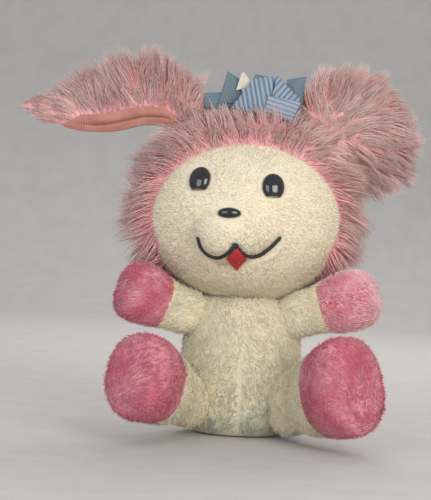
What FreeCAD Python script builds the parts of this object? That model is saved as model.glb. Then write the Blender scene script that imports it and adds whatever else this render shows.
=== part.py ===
"""A seated stuffed bunny: sewn cream and pink plush covers over fibre stuffing.

Millimetres, +Z up. The toy sits on its flat base and faces -Y. Names say left and right as
seen from the front: "left" is the -X side. Shapes are laid out round the torso's own axis and
moved at the end, so that the origin is the bottom centre of the whole toy's box.
"""
import FreeCAD
import Part

import math
import os

Vector = FreeCAD.Vector

# ---------------------------------------------------------------- driving dimensions
ORIGIN_SHIFT = Vector(16.06, 20.955, 0.0)  # from the layout's axes to the box's bottom centre
COVER = 2.0                      # backing cloth with its short pile
STUFFING_GAP = 0.3               # stuffing stays this far inside its cover
SEAM_GAP = 0.2                   # between the edges of two panels sewn together
FACE_LIFT = 0.1                  # how far fittings on the face stand off the cloth
MEETING = 1e-6                   # two ends closer than this are one point

# Turned shapes are lists of stations: (radius, height).
TORSO_X = 3.0
TORSO_FLATTEN = 0.79             # depth over width
TORSO = [(29.0, 0.0), (40.0, 7.0), (45.5, 24.0), (46.5, 44.0), (44.5, 62.0), (41.0, 78.0),
         (34.0, 91.0), (24.5, 98.0), (16.0, 100.5)]
TAIL_RADIUS = 14.5
TAIL_CORE = 8.5
TAIL = Vector(3.0, 51.0, 24.0)

NECK = Vector(1.0, 0.0, 100.5)
NECK_RADIUS = 10.4
NECK_HOLLOW = 11.4

HEAD_BOTTOM = 105.0              # the plane of the head's neck opening
HEAD = Vector(1.0, 0.0, 165.5)
HEAD_RADII = Vector(74.0, 59.0, 64.0)
FACE_SEAM_Y = -22.0              # the face panel is sewn to the hood in this plane
PILE = 7.0                       # firm depth of the shaggy pile, past which only loose tips stand
MUZZLE = Vector(-9.5, -46.0, 151.0)
MUZZLE_RADII = Vector(27.0, 23.0, 22.0)

EYE_WIDTH = 16.5
EYE_HEIGHT = 20.0
EYE_DOME = 5.0
EYE_FLAT = 0.40                  # the flat lower edge, as a share of the height below centre
EYES = {"left": (-34.0, 189.0), "right": (19.4, 186.7)}
NOSE_WIDTH = 17.0
NOSE_HEIGHT = 8.5
NOSE_DOME = 4.5
NOSE = (-11.4, 166.0)
STEM_RADIUS = 2.4
STEM_LENGTH = 13.0
STEM_PLAY = 0.05
WASHER_RADIUS = 7.0
WASHER_THICKNESS = 1.6
WASHER_DEPTH = 6.5               # from the face's surface to the washer's front

THREAD_RADIUS = 0.9
STITCH_SHARE = 0.94              # how much of each step a stitch covers
MOUTH_LIFT = 0.45                # how far the thread stands off the cloth
MOUTH = [(-33.1, 146.5), (-30.8, 140.3), (-25.6, 135.2), (-18.0, 133.3), (-11.2, 137.2),
         (-5.8, 144.0), (-1.2, 138.4), (4.2, 135.4), (10.8, 136.0), (18.4, 141.4),
         (26.0, 149.6)]
TONGUE = (-4.2, 132.4)
TONGUE_WIDTH = 12.5
TONGUE_HEIGHT = 16.0
TONGUE_THICKNESS = 1.4

ARM_LENGTH = 51.0
ARM_LENGTHS = {"left": 51.0, "right": 57.5}
ARM_FLATTEN = 0.90
ARM = [(0.0, -11.5), (6.5, -9.5), (10.3, -5.0), (11.8, 0.5), (13.8, 8.0), (16.6, 16.0),
       (20.0, 25.0), (21.3, 35.0), (18.2, 44.5), (10.0, 49.8), (0.0, ARM_LENGTH)]
ARM_SEAM_STATION = 5             # the pink paw is sewn to the cream sleeve here
SHOULDERS = {"left": Vector(-44.2, -11.0, 89.0), "right": Vector(51.0, -11.0, 90.5)}
PAWS = {"left": Vector(-83.0, -26.0, 102.0), "right": Vector(90.0, -26.0, 105.5)}

HIPS = {"left": Vector(-40.0, -38.3, 29.5), "right": Vector(46.4, -38.3, 29.5)}
SOLES = {"left": Vector(-75.0, -95.0, 51.5), "right": Vector(87.0, -96.0, 52.5)}
LEG_BALL = 15.5
LEG_SHIN = (20.5, 20.0)          # radius and distance from the hip
FOOT_RADIUS = 28.0
# Further along the foot, radii and shares of the distance from the hip to the sole.
FOOT_HEEL = (26.0, 0.55)
FOOT_WIDEST = 0.76
FOOT_EDGE = (24.5, 0.93)
SOLE_ROUND = (14.0, 0.6)         # radius, and how far past the sole's middle it stands
SOLE_DOME = 2.0
FOOT_HALF_WIDTHS = {"left": 25.5, "right": 27.0}
FOOT_HALF_HEIGHTS = {"left": 30.5, "right": 35.0}
LEG_SEAM_STATION = 4             # the pink foot is sewn to the cream thigh here
SOLE_STATION = 7                 # the sole is sewn in here

LINING = 1.6
LINING_GAP = 0.3
# Ear stations: centre, half height, half thickness. The left ear lies straight out, and the
# right one flops down and back.
EARS = {
    "left": [(Vector(-60.0, 2.0, 240.0), 9.0, 6.0), (Vector(-72.0, 2.0, 252.0), 19.0, 8.0),
             (Vector(-90.0, 1.0, 256.0), 27.0, 9.0), (Vector(-112.0, 0.0, 250.0), 27.0, 9.0),
             (Vector(-136.0, 0.0, 242.5), 21.0, 8.5), (Vector(-158.0, 0.0, 239.0), 12.5, 7.0),
             (Vector(-173.5, 0.0, 238.5), 4.0, 4.0)],
    "right": [(Vector(60.0, 3.0, 238.0), 10.0, 7.0), (Vector(68.0, 2.0, 242.0), 26.0, 9.0),
              (Vector(82.0, 2.0, 241.0), 40.0, 11.0), (Vector(100.0, 7.0, 231.0), 43.0, 11.0),
              (Vector(117.0, 15.0, 218.0), 35.0, 10.5), (Vector(130.0, 23.0, 206.0), 22.0, 9.0),
              (Vector(138.5, 29.0, 199.0), 8.0, 5.0)],
}
# Which way each ear's smooth lining faces: to the front on the left ear, hidden on the right.
LINING_SIDES = {"left": -1.0, "right": 1.0}

BOW_KNOT = Vector(11.5, -6.0, 245.5)
BOW_LOOPS = {"left": (Vector(-5.0, -6.0, 251.5), Vector(11.5, 4.5, 10.5)),
             "right": (Vector(28.5, -6.0, 255.0), Vector(12.0, 5.0, 17.0))}
BOW_KNOT_RADII = Vector(4.5, 5.5, 6.5)
BOW_END = [(-16.0, 257.5), (-2.0, 262.5), (-9.0, 272.0)]
BOW_END_THICKNESS = 2.0
BOW_END_BEHIND = 7.0             # how far behind the knot's middle the cream end stands


# ---------------------------------------------------------------- shared shapes
def offset(stations, by):
    """A turned outline moved outwards (or inwards, if negative), each station by its own amount."""
    amounts = by if isinstance(by, list) else [by] * len(stations)
    moved = []
    for index, ((radius, height), amount) in enumerate(zip(stations, amounts)):
        before = stations[max(index - 1, 0)]
        after = stations[min(index + 1, len(stations) - 1)]
        run, rise = after[0] - before[0], after[1] - before[1]
        if radius == 0:
            run, rise = (-1.0, 0.0) if index else (1.0, 0.0)
        length = math.hypot(run, rise)
        new_radius = radius + amount * rise / length if radius else 0.0
        moved.append((max(new_radius, 0.0), height - amount * run / length))
    return moved


def outline(stations, first, last):
    """The smooth curve through the stations, cut to the stretch from first to last."""
    points = [Vector(radius, 0, height) for radius, height in stations]
    curve = Part.BSplineCurve()
    curve.interpolate(points)
    curve.segment(curve.getKnot(first + 1), curve.getKnot(last + 1))
    return curve


def stretched(shape, x, y, z):
    """A shape scaled by its own amount along each axis."""
    scale = FreeCAD.Matrix()
    scale.scale(x, y, z)
    return shape.transformGeometry(scale)


def turned(edges, start_angle, end_angle):
    """The solid that a closed outline in the XZ plane sweeps about Z. Angle 0 is -Y."""
    face = Part.Face(Part.Wire(Part.__sortEdges__(edges)))
    face.rotate(Vector(0, 0, 0), Vector(0, 0, 1), start_angle - 90.0)
    return face.revolve(Vector(0, 0, 0), Vector(0, 0, 1), end_angle - start_angle)


def line(a, b):
    """A straight edge, or none where the two ends meet."""
    return [Part.makeLine(a, b)] if a.distanceToPoint(b) > MEETING else []


def wall(outer, inner, first, last, start_angle=0.0, end_angle=360.0):
    """A turned cover between two outlines, over some stations and round some of the turn."""
    outside, inside = outline(outer, first, last), outline(inner, first, last)
    edges = [outside.toShape(), inside.toShape()]
    edges += line(outside.StartPoint, inside.StartPoint) + line(outside.EndPoint, inside.EndPoint)
    return turned(edges, start_angle, end_angle)


def filling(stations):
    """The closed turned solid inside an outline."""
    curve = outline(stations, 0, len(stations) - 1)
    low, high = Vector(0, 0, curve.StartPoint.z), Vector(0, 0, curve.EndPoint.z)
    edges = [curve.toShape(), Part.makeLine(low, high)]
    return turned(edges + line(curve.StartPoint, low) + line(curve.EndPoint, high), 0.0, 360.0)


def ellipsoid(centre, radii):
    """A solid ellipsoid with its axes along X, Y and Z."""
    made = stretched(Part.makeSphere(1.0), radii.x, radii.y, radii.z)
    made.translate(centre)
    return made


def along(shape, start, end):
    """Turns a shape made along +Z to run from start towards end, its local Y kept upright."""
    forward = (end - start).normalize()
    side = Vector(0, 0, 1).cross(forward).normalize()
    up = forward.cross(side)
    placed = FreeCAD.Matrix(side.x, up.x, forward.x, start.x,
                            side.y, up.y, forward.y, start.y,
                            side.z, up.z, forward.z, start.z,
                            0, 0, 0, 1)
    return shape.transformShape(placed, True)


# ---------------------------------------------------------------- torso and tail
def torso():
    """Four cover panels, the flat base panel and the stuffing."""
    inner = offset(TORSO, -COVER)
    inner[0] = (TORSO[0][0] - COVER, 0.0)
    made = {}
    for name, start in (("front_right", 0), ("back_right", 90), ("back_left", 180),
                        ("front_left", 270)):
        made[f"torso_{name}_panel"] = wall(TORSO, inner, 0, len(TORSO) - 1, start, start + 90)
    core = offset(TORSO, -COVER - STUFFING_GAP)
    core[0] = (core[0][0], COVER + STUFFING_GAP)
    made["torso_stuffing"] = filling(core)
    for name, shape in made.items():
        shape = stretched(shape, 1.0, TORSO_FLATTEN, 1.0)
        shape.translate(Vector(TORSO_X, 0, 0))
        made[name] = shape
    base_radius = inner[0][0] - SEAM_GAP
    oval = Part.Ellipse(Vector(TORSO_X, 0, 0), base_radius, base_radius * TORSO_FLATTEN)
    base = Part.Face(Part.Wire([oval.toShape()]))
    made["torso_base_panel"] = base.extrude(Vector(0, 0, COVER))
    hollow = Part.makeSphere(NECK_HOLLOW, NECK)
    made["torso_stuffing"] = made["torso_stuffing"].cut(hollow)
    return made


def tail():
    """The round tail's shaggy cover and the stuffing in it."""
    ball = Part.makeSphere(TAIL_RADIUS, TAIL)
    return {"tail_cover": ball.cut(Part.makeSphere(TAIL_CORE, TAIL)),
            "tail_stuffing": Part.makeSphere(TAIL_CORE - STUFFING_GAP, TAIL)}


# ---------------------------------------------------------------- limbs
def limb(stations, cuts, scale, start, end):
    """A turned limb's cover, cut at some stations, and its stuffing, set from start to end."""
    inner = offset(stations, -COVER)
    pieces = [wall(stations, inner, first, last) for first, last in zip(cuts, cuts[1:])]
    pieces.append(filling(offset(stations, -COVER - STUFFING_GAP)))
    return [along(stretched(piece, *scale), start, end) for piece in pieces]


def arm(side):
    """The cream sleeve, the pink paw and the stuffing of one arm."""
    sleeve, paw, stuffing = limb(ARM, [1, ARM_SEAM_STATION, len(ARM) - 1],
                                 (ARM_FLATTEN, 1.0, ARM_LENGTHS[side] / ARM_LENGTH),
                                 SHOULDERS[side], PAWS[side])
    return {f"arm_{side}_sleeve": sleeve, f"arm_{side}_paw": paw,
            f"arm_{side}_stuffing": stuffing}


def leg(side):
    """The cream thigh, the pink foot, its sole and the stuffing of one leg."""
    length = (SOLES[side] - HIPS[side]).Length
    stations = [(0.0, -LEG_BALL), (LEG_BALL * 0.60, -LEG_BALL * 0.80), (LEG_BALL * 0.92, -5.0),
                (LEG_BALL * 1.02, 5.0), LEG_SHIN, (FOOT_HEEL[0], length * FOOT_HEEL[1]),
                (FOOT_RADIUS, length * FOOT_WIDEST), (FOOT_EDGE[0], length * FOOT_EDGE[1]),
                (SOLE_ROUND[0], length + SOLE_ROUND[1]), (0.0, length + SOLE_DOME)]
    scale = (FOOT_HALF_WIDTHS[side] / FOOT_RADIUS, FOOT_HALF_HEIGHTS[side] / FOOT_RADIUS, 1.0)
    thigh, foot, sole, stuffing = limb(
        stations, [1, LEG_SEAM_STATION, SOLE_STATION, len(stations) - 1], scale,
        HIPS[side], SOLES[side])
    return {f"leg_{side}_thigh": thigh, f"leg_{side}_foot": foot, f"leg_{side}_sole": sole,
            f"leg_{side}_stuffing": stuffing}


# ---------------------------------------------------------------- head
def grown(radii, by):
    """Ellipsoid radii, all larger by the same amount."""
    return radii + Vector(by, by, by)


def face_y(x, z, lift=0.0):
    """The Y of the face's front surface at a place, with the surface moved out by a lift."""
    found = []
    for centre, radii in ((HEAD, grown(HEAD_RADII, lift)), (MUZZLE, grown(MUZZLE_RADII, lift))):
        rest = 1 - ((x - centre.x) / radii.x) ** 2 - ((z - centre.z) / radii.z) ** 2
        if rest > 0:
            found.append(centre.y - radii.y * math.sqrt(rest))
    return min(found)


def face_normal(x, z):
    """The outward direction of the face's surface at a place."""
    step = 0.5
    slope_x = (face_y(x + step, z) - face_y(x - step, z)) / (2 * step)
    slope_z = (face_y(x, z + step) - face_y(x, z - step)) / (2 * step)
    return Vector(slope_x, -1.0, slope_z).normalize()


def on_face(shape, place, lift=FACE_LIFT):
    """Sets a shape that was made at the origin, facing -Y, on the face's surface."""
    x, z = place
    turn = FreeCAD.Rotation(Vector(0, -1, 0), face_normal(x, z))
    placed = FreeCAD.Placement(Vector(x, face_y(x, z, lift), z), turn)
    return shape.transformShape(placed.toMatrix(), True)


def block(low, high):
    """A box between two corners."""
    size = high - low
    return Part.makeBox(size.x, size.y, size.z, low)


def stem(radius=STEM_RADIUS):
    """The stem behind an eye or the nose, running back into the head."""
    return Part.makeCylinder(radius, STEM_LENGTH, Vector(0, 0, 0), Vector(0, 1, 0))


def cap(width, height, dome, flat):
    """A domed oval cap with its stem. Flat cuts its lower edge, as a share of the height."""
    shape = ellipsoid(Vector(0, 0, 0), Vector(width / 2, dome, height / 2))
    front = block(Vector(-width, -2 * dome, -height * flat), Vector(width, 0, height))
    return shape.common(front).fuse(stem())


def washer(radius):
    """The lock washer that grips a stem behind the cloth."""
    ring = Part.makeCylinder(radius, WASHER_THICKNESS, Vector(0, WASHER_DEPTH, 0), Vector(0, 1, 0))
    return ring.cut(stem(STEM_RADIUS + STEM_PLAY))


def mouth_stitching():
    """The black mouth line: a row of separate straight stitches lying on the cloth."""
    lift = THREAD_RADIUS + MOUTH_LIFT
    points = [Vector(x, face_y(x, z, lift), z) for x, z in MOUTH]
    stitches = []
    for start, end in zip(points, points[1:]):
        step = end - start
        margin = step * ((1 - STITCH_SHARE) / 2)
        stitches.append(Part.makeCylinder(THREAD_RADIUS, step.Length * STITCH_SHARE,
                                          start + margin, step))
    return Part.makeCompound(stitches)


def tongue():
    """A red felt diamond under the middle of the mouth."""
    half_width, half_height = TONGUE_WIDTH / 2, TONGUE_HEIGHT / 2
    corners = [Vector(0, 0, half_height), Vector(half_width, 0, 0), Vector(0, 0, -half_height),
               Vector(-half_width, 0, 0)]
    felt = Part.Face(Part.makePolygon(corners + corners[:1]))
    return on_face(felt.extrude(Vector(0, -TONGUE_THICKNESS, 0)), TONGUE,
                   2 * THREAD_RADIUS + 2 * MOUTH_LIFT)


def head():
    """The face panel, the two hood panels, the stuffing and everything fixed to the face."""
    reach = 300.0
    above = block(Vector(-reach, -reach, HEAD_BOTTOM), Vector(reach, reach, reach))
    front = block(Vector(-reach, -reach, -reach), Vector(reach, FACE_SEAM_Y, reach))
    left = block(Vector(-reach, -reach, -reach), Vector(HEAD.x, reach, reach))
    neck_hollow = Part.makeSphere(NECK_HOLLOW, NECK)
    outer = ellipsoid(HEAD, HEAD_RADII).fuse(ellipsoid(MUZZLE, MUZZLE_RADII))
    inner = ellipsoid(HEAD, grown(HEAD_RADII, -COVER)).fuse(
        ellipsoid(MUZZLE, grown(MUZZLE_RADII, -COVER)))
    core = ellipsoid(HEAD, grown(HEAD_RADII, -COVER - STUFFING_GAP)).fuse(
        ellipsoid(MUZZLE, grown(MUZZLE_RADII, -COVER - STUFFING_GAP)))
    stem_holes = [on_face(stem(STEM_RADIUS + STEM_PLAY), place)
                  for place in (EYES["left"], EYES["right"], NOSE)]
    face = outer.common(front).common(above).cut([inner, neck_hollow, *stem_holes])
    hood = ellipsoid(HEAD, grown(HEAD_RADII, PILE)).common(above).cut([front, inner, neck_hollow])
    made = {
        "face_panel": face,
        "hood_left_panel": hood.common(left),
        "hood_right_panel": hood.cut(left),
        "head_stuffing": core.common(above).cut(neck_hollow),
        "nose": on_face(cap(NOSE_WIDTH, NOSE_HEIGHT, NOSE_DOME, 1.0), NOSE),
        "nose_washer": on_face(washer(WASHER_RADIUS), NOSE),
        "mouth_stitching": mouth_stitching(),
        "tongue": tongue(),
    }
    for side, place in EYES.items():
        made[f"eye_{side}"] = on_face(cap(EYE_WIDTH, EYE_HEIGHT, EYE_DOME, EYE_FLAT), place)
        made[f"eye_{side}_washer"] = on_face(washer(WASHER_RADIUS), place)
    return made


# ---------------------------------------------------------------- ears
def half_oval(station, ahead, side, depth):
    """The D-shaped outline of one face of an ear, standing across the ear's length."""
    centre, half_height, _ = station
    up = Vector(0, 0, 1)
    out = up.cross(ahead).normalize() * side
    high, low = centre + up * half_height, centre - up * half_height
    shoulder = 0.72                # how far up and out the curve is at an eighth of a turn
    bulge = [centre + up * (half_height * shoulder) + out * (depth * shoulder),
             centre + out * depth,
             centre - up * (half_height * shoulder) + out * (depth * shoulder)]
    curve = Part.BSplineCurve()
    curve.interpolate([high, *bulge, low])
    return Part.Wire([curve.toShape(), Part.makeLine(low, high)])


def ear(side):
    """The shaggy pile side of an ear and the smooth lining sewn to it."""
    stations = EARS[side]
    towards = LINING_SIDES[side]
    directions = []
    for index in range(len(stations)):
        before = stations[max(index - 1, 0)][0]
        after = stations[min(index + 1, len(stations) - 1)][0]
        run = after - before
        directions.append(Vector(run.x, run.y, 0).normalize())
    # Seen from above, out is to the left of the way the ear runs, so the sides swap with it.
    sign = towards if side == "right" else -towards
    pile, lining = [], []
    for station, ahead in zip(stations, directions):
        out = Vector(0, 0, 1).cross(ahead).normalize()
        moved = (station[0] + out * (sign * LINING_GAP), station[1], station[2])
        pile.append(half_oval(station, ahead, -sign, station[2]))
        lining.append(half_oval(moved, ahead, sign, LINING))
    return {f"ear_{side}_pile": Part.makeLoft(pile, True, False),
            f"ear_{side}_lining": Part.makeLoft(lining, True, False)}


# ---------------------------------------------------------------- bow
def bow():
    """A folded cotton bow on the hood's top: two pressed loops, the knot and a cream end."""
    made = {}
    for side, (centre, radii) in BOW_LOOPS.items():
        made[f"bow_{side}_loop"] = ellipsoid(centre, radii)
    made["bow_knot"] = ellipsoid(BOW_KNOT, BOW_KNOT_RADII)
    corners = [Vector(x, BOW_KNOT.y + BOW_END_BEHIND, z) for x, z in BOW_END]
    end = Part.Face(Part.makePolygon(corners + corners[:1]))
    made["bow_end"] = end.extrude(Vector(0, BOW_END_THICKNESS, 0))
    return made


def build():
    """All pieces, by node name, on the origin's axes."""
    parts = {**torso(), **tail(), **head(), **bow()}
    parts["neck_stuffing"] = Part.makeSphere(NECK_RADIUS, NECK)
    for side in ("left", "right"):
        parts.update({**arm(side), **leg(side), **ear(side)})
    for shape in parts.values():
        shape.translate(ORIGIN_SHIFT)
    return parts


def write(parts):
    """Writes each named piece as a STEP file in parts/."""
    os.makedirs("parts", exist_ok=True)
    for name, shape in sorted(parts.items()):
        if not shape.isValid():
            print("not valid:", name)
        shape.exportStep(f"parts/{name}.step")


write(build())
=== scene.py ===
"""Looks of a seated stuffed bunny: plush covers, shaggy pile, plastic eyes and a cotton bow.

Sizes are in millimetres round the torso's own axis, +Z up, with the toy facing -Y. They turn into
the frame's metres when a piece is made. Left and right are as seen from the front.
"""
from __future__ import annotations

import logging
import math
from collections.abc import Callable, Sequence
from dataclasses import dataclass, field
from enum import Enum

import bmesh
import bpy
import numpy as np
from mathutils import Matrix, Vector
from mathutils.kdtree import KDTree


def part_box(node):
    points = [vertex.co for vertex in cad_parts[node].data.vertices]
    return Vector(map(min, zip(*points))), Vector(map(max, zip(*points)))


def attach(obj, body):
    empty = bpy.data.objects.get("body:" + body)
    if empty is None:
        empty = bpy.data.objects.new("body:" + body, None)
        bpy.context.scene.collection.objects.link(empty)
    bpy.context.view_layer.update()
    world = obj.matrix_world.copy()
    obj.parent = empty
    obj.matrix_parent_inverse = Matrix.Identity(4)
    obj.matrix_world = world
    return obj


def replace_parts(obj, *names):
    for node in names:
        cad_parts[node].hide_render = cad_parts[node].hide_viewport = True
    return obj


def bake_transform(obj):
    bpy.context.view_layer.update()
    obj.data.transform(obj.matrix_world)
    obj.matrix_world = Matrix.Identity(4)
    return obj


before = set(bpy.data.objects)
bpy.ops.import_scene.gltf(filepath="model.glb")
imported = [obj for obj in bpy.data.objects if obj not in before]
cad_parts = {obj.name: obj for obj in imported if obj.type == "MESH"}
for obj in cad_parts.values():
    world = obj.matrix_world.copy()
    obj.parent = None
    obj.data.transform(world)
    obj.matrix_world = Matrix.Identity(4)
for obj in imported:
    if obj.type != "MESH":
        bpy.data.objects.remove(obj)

LOG = logging.getLogger("bunny")
MM = 0.001
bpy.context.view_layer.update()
NECK = np.array([1.0, 0.0, 100.5])
ORIGIN = np.mean(np.array(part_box("neck_stuffing"), dtype=float), axis=0) - NECK * MM
DOWN = np.array([0.0, 0.0, -1.0])
UP = -DOWN
FRONT = np.array([0.0, -1.0, 0.0])
MOST_TRIANGLES = 190_000

Colour = tuple[float, float, float]
Field = Callable[[np.ndarray], np.ndarray]
Follow = Callable[[bpy.types.Object], None]


# ------------------------------------------------------------------ small helpers
def unit(vectors: np.ndarray) -> np.ndarray:
    """The same directions, one long."""
    return vectors / np.maximum(np.linalg.norm(vectors, axis=-1, keepdims=True), 1e-9)


def placed(points: np.ndarray) -> np.ndarray:
    """Layout millimetres as the frame's metres."""
    return ORIGIN + np.asarray(points, dtype=float) * MM


def at(x: float, y: float, z: float) -> Vector:
    """One layout place as the frame's metres."""
    return Vector(placed(np.array([x, y, z])))


def ramp(values: np.ndarray, low: float, high: float) -> np.ndarray:
    """A smooth step from 0 at low to 1 at high."""
    share = np.clip((values - low) / (high - low), 0.0, 1.0)
    return share * share * (3.0 - 2.0 * share)


def swirl(points: np.ndarray, size: float, seed: int) -> np.ndarray:
    """Three smooth random values at each place.

    Args:
        points: Places in millimetres.
        size: Distance over which the values change.
        seed: Picks the pattern.

    Returns:
        Values from about -1 to 1, three for each place.
    """
    rng = np.random.default_rng(seed)
    total = np.zeros((len(points), 3))
    for _ in range(6):
        waves = rng.normal(size=(3, 3)) * (2.2 / size)
        total += np.sin(points @ waves + rng.random(3) * 2 * math.pi)
    return total / 3.0


def smooth_line(stations: Sequence[Sequence[float]], count: int) -> np.ndarray:
    """A smooth curve through stations.

    Args:
        stations: Rows of numbers that the curve goes through.
        count: How many rows to return.

    Returns:
        The rows along the curve.
    """
    rows = np.array(stations, dtype=float)
    steps = np.linalg.norm(np.diff(rows, axis=0), axis=1)
    places = np.concatenate([[0.0], np.cumsum(steps)])
    slopes = np.gradient(rows, places, axis=0)
    wanted = np.linspace(0.0, places[-1], count)
    index = np.clip(np.searchsorted(places, wanted, "right") - 1, 0, len(rows) - 2)
    gap = (places[index + 1] - places[index])[:, None]
    t = (wanted - places[index])[:, None] / gap
    return ((2 * t**3 - 3 * t**2 + 1) * rows[index] + (t**3 - 2 * t**2 + t) * gap * slopes[index]
            + (3 * t**2 - 2 * t**3) * rows[index + 1] + (t**3 - t**2) * gap * slopes[index + 1])


def riding(body: str) -> Follow:
    """Makes a piece move with one body."""
    return lambda piece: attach(piece, body)


def bending() -> Follow:
    """Bakes a piece's place into its mesh, leaving it on no body."""
    return lambda piece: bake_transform(piece)


# ------------------------------------------------------------------ finishes
class Shader:
    """A material's node tree, built up from one principled shader."""

    def __init__(self, name: str, roughness: float) -> None:
        """Starts a material of one roughness."""
        self.material = bpy.data.materials.new(name)
        self.material.use_nodes = True
        self.nodes = self.material.node_tree.nodes
        self.surface = self.nodes["Principled BSDF"]
        self.surface.inputs["Roughness"].default_value = roughness

    def add(self, kind: str, inputs: dict[str, object] | None = None, **settings: object) -> bpy.types.Node:
        """Adds a node.

        Args:
            kind: The node's type, without its ShaderNode prefix.
            inputs: Values or sockets for its inputs.
            settings: The node's own settings.

        Returns:
            The new node.
        """
        node = self.nodes.new(f"ShaderNode{kind}")
        for name, value in settings.items():
            setattr(node, name, value)
        for name, value in (inputs or {}).items():
            self.join(value, node.inputs[name])
        return node

    def join(self, value: object, socket: bpy.types.NodeSocket) -> None:
        """Links a socket to an input, or sets the input to a value."""
        if isinstance(value, bpy.types.NodeSocket):
            self.material.node_tree.links.new(value, socket)
        else:
            socket.default_value = value

    def noise(self, scale: float, detail: float = 3.0) -> bpy.types.NodeSocket:
        """Noise over the object's own coordinates."""
        where = self.add("TexCoord").outputs["Object"]
        return self.add("TexNoise", {"Vector": where, "Scale": scale, "Detail": detail}).outputs["Fac"]

    def mixed(self, share: object, first: object, second: object) -> bpy.types.NodeSocket:
        """A mix of two colours, each a colour or a socket."""
        node = self.add("MixRGB")
        for value, socket in zip((share, first, second), node.inputs):
            is_colour = isinstance(value, tuple)
            self.join((*value, 1.0) if is_colour else value, socket)
        return node.outputs["Color"]

    def spread(self, value: bpy.types.NodeSocket, low: float, high: float) -> bpy.types.NodeSocket:
        """A value stretched so that low becomes 0 and high becomes 1."""
        node = self.add("MapRange", {"Value": value, "From Min": low, "From Max": high})
        return node.outputs["Result"]

    def bumps(self, height: bpy.types.NodeSocket, depth: float) -> None:
        """Roughens the surface by a height, of a depth in millimetres."""
        bump = self.add("Bump", {"Height": height, "Distance": depth * MM, "Strength": 1.0})
        self.join(bump.outputs["Normal"], self.surface.inputs["Normal"])

    def coloured(self, colour: bpy.types.NodeSocket) -> bpy.types.Material:
        """Gives the surface its colour and returns the material."""
        self.join(colour, self.surface.inputs["Base Color"])
        return self.material


@dataclass(frozen=True)
class PileFinish:
    """The colours of one pile cloth: its tufts from root to tip, and its patch colour for random faded or
    greyed patches and, on the pink paws and feet, for painted light.
    """

    slot: str
    root: Colour
    tip: Colour
    patch: Colour
    spread: tuple[float, float] = (0.8, 1.15)
    sheen: float = 0.3

    def tufts(self) -> bpy.types.Material:
        """The material of the pile's fibres, which read their own tone."""
        shader = Shader(f"{self.slot}_fibres", 0.8)
        tone = shader.add("Attribute", attribute_name="tone").outputs["Color"]
        parts = shader.add("SeparateColor", {"Color": tone}).outputs
        colour = shader.mixed(parts["Red"], self.root, self.tip)
        colour = shader.mixed(parts["Blue"], colour, self.patch)
        bright = shader.add("MapRange", {"Value": parts["Green"], "To Min": self.spread[0],
                                          "To Max": self.spread[1]})
        scaled = shader.add("VectorMath", {0: colour, "Scale": bright.outputs["Result"]},
                            operation="SCALE")
        shader.surface.inputs["Sheen Weight"].default_value = self.sheen
        shader.surface.inputs["Sheen Roughness"].default_value = 0.5
        shader.surface.inputs["Specular IOR Level"].default_value = 0.25
        return shader.coloured(scaled.outputs["Vector"])

    def cloth(self) -> bpy.types.Material:
        """The material of the backing cloth with the pile's dense under-fur."""
        shader = Shader(f"{self.slot}_backing", 0.95)
        shade = tuple(0.86 * channel for channel in self.root)
        fine = shader.spread(shader.noise(900.0, 4.0), 0.3, 0.7)
        broad = shader.spread(shader.noise(45.0, 2.0), 0.35, 0.7)
        colour = shader.mixed(fine, shade, self.root)
        half = shader.add("Math", {0: broad, 1: 0.5}, operation="MULTIPLY").outputs["Value"]
        shader.bumps(fine, 0.6)
        return shader.coloured(shader.mixed(half, colour, self.patch))


@dataclass(frozen=True)
class LiningFinish:
    """Finely ribbed salmon cloth."""

    slot: str = "ear_lining"
    light: Colour = (0.50, 0.21, 0.16)
    dark: Colour = (0.33, 0.12, 0.09)
    rib: float = 1.25

    def material(self) -> bpy.types.Material:
        """Ribs across the ear's length, with soft, lighter patches of painted shading."""
        shader = Shader(self.slot, 0.8)
        where = shader.add("TexCoord").outputs["Object"]
        ribs = shader.add("TexWave", {"Vector": where, "Scale": 2 * math.pi / (20 * self.rib * MM),
                                      "Distortion": 0.6, "Detail": 1.0, "Detail Scale": 1.0},
                          bands_direction="X").outputs["Fac"]
        shader.bumps(ribs, 0.25)
        colour = shader.mixed(ribs, self.dark, self.light)
        # Painted shading: soft noise patches lighten the lining towards a paler salmon.
        painted_shading = shader.spread(shader.noise(60.0), 0.35, 0.75)
        half = shader.add("Math", {0: painted_shading, 1: 0.45}, operation="MULTIPLY").outputs["Value"]
        return shader.coloured(shader.mixed(half, colour, (0.66, 0.38, 0.30)))


@dataclass(frozen=True)
class StripeFinish:
    """Woven cotton with stripes along one side of its own UV map."""

    slot: str
    pale: Colour
    deep: Colour
    stripes: float

    def material(self) -> bpy.types.Material:
        """Stripes of two strengths over a fine weave."""
        shader = Shader(self.slot if self.stripes > 1 else f"{self.slot}_{self.stripes}", 0.75)
        where = shader.add("TexCoord").outputs["UV"]
        wide = shader.add("TexWave", {"Vector": where, "Scale": self.stripes * math.pi / 10,
                                      "Distortion": 0.35, "Detail": 2.0, "Detail Scale": 2.0},
                          bands_direction="X").outputs["Fac"]
        thin = shader.add("TexWave", {"Vector": where, "Scale": self.stripes * math.pi * 0.23,
                                      "Distortion": 0.3, "Detail": 1.0},
                          bands_direction="X").outputs["Fac"]
        weave = shader.noise(1600.0, 2.0)
        shader.bumps(weave, 0.12)
        middle = tuple((a + b) / 2 for a, b in zip(self.pale, self.deep))
        colour = shader.mixed(shader.spread(wide, 0.42, 0.58), self.pale, self.deep)
        lines = shader.add("Math", {0: shader.spread(thin, 0.6, 0.75), 1: 0.5}, operation="MULTIPLY")
        return shader.coloured(shader.mixed(lines.outputs["Value"], colour, middle))


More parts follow.
